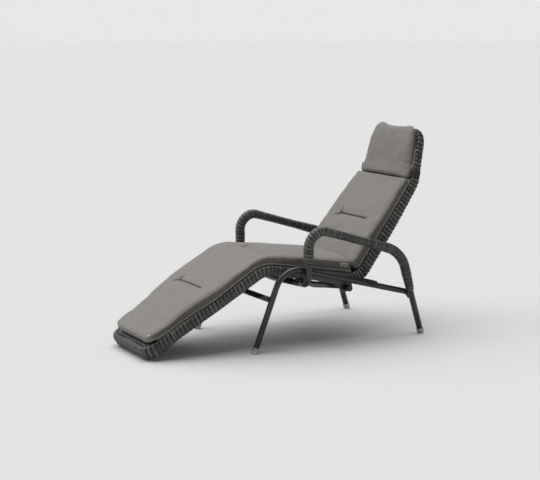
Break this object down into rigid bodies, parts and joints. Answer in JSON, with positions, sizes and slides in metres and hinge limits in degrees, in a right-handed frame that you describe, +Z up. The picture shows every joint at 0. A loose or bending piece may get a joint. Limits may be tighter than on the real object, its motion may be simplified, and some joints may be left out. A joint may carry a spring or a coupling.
{
  "type": "reclining sun lounger",
  "caption": "Reclining sun lounger: woven one-piece shell tilting on two pivots in a bent-tube base with woven arms, with seat and back cushions and a head pillow.",
  "frame": {"origin": "centre of the object's footprint box, on the floor", "axes": "+Z up, -Y towards the foot end, +X the sitter's left"},
  "size_m": [0.7582, 1.6199, 1.0618],
  "materials": {
    "frame_paint": "dark grey powder coat, satin",
    "wicker": "woven resin strands, dark grey",
    "fabric": "heathered taupe weave",
    "strap_cloth": "dark elastic band",
    "rubber": "matte black rubber",
    "steel": "brushed",
    "knob_plastic": "black moulded plastic",
    "glide": "beige moulded plastic"
  },
  "bodies": {
    "base": {"side_tube_left": "frame_paint", "side_tube_right": "frame_paint", "arm_tube_left": "frame_paint", "arm_tube_right": "frame_paint", "arm_wicker_left": "wicker", "arm_wicker_right": "wicker", "front_bow": "frame_paint", "rear_bow": "frame_paint", "front_crossbar": "frame_paint", "front_ferrule_left": "steel", "front_ferrule_right": "steel", "front_glide_left": "glide", "front_glide_right": "glide", "rear_ferrule_left": "steel", "rear_ferrule_right": "steel", "rear_glide_left": "glide", "rear_glide_right": "glide", "pivot_bracket_left": "frame_paint", "pivot_bracket_right": "frame_paint", "knob_washer_left": "steel", "knob_washer_right": "steel", "front_stop_left": "rubber", "front_stop_right": "rubber", "rear_stop_left": "rubber", "rear_stop_right": "rubber"},
    "lounge": {"pivot_lug_left": "frame_paint", "pivot_lug_right": "frame_paint", "pivot_bolt_left": "steel", "pivot_bolt_right": "steel", "pivot_spacer_left": "knob_plastic", "pivot_spacer_right": "knob_plastic", "stop_peg_left": "rubber", "stop_peg_right": "rubber", "rail_tube_left": "frame_paint", "rail_tube_right": "frame_paint", "foot_tube": "frame_paint", "head_tube": "frame_paint", "rail_wicker_left": "wicker", "rail_wicker_right": "wicker", "foot_wicker": "wicker", "head_wicker": "wicker", "calf_stay": "frame_paint", "knee_stay": "frame_paint", "seat_stay": "frame_paint", "lumbar_stay": "frame_paint", "shoulder_stay": "frame_paint", "leg_weave": "wicker", "seat_weave": "wicker", "back_weave": "wicker", "head_weave": "wicker", "seat_cushion": "fabric", "back_cushion": "fabric", "head_pillow": "fabric", "pillow_strap": "strap_cloth"},
    "knob_left": {"clamp_knob_left": "knob_plastic"},
    "knob_right": {"clamp_knob_right": "knob_plastic"}
  },
  "joints": [
    {"name": "recline", "type": "hinge", "parent": "base", "child": "lounge", "pos_m": [0, 0.271, 0.276], "axis": [-1, 0, 0], "range_deg": [0, 15.5]},
    {"name": "knob_turn_left", "type": "hinge", "parent": "base", "child": "knob_left", "pos_m": [0.322, 0.271, 0.276], "axis": [1, 0, 0], "range_deg": [0, 300]},
    {"name": "knob_turn_right", "type": "hinge", "parent": "base", "child": "knob_right", "pos_m": [-0.322, 0.271, 0.276], "axis": [-1, 0, 0], "range_deg": [0, 300]}
  ]
}
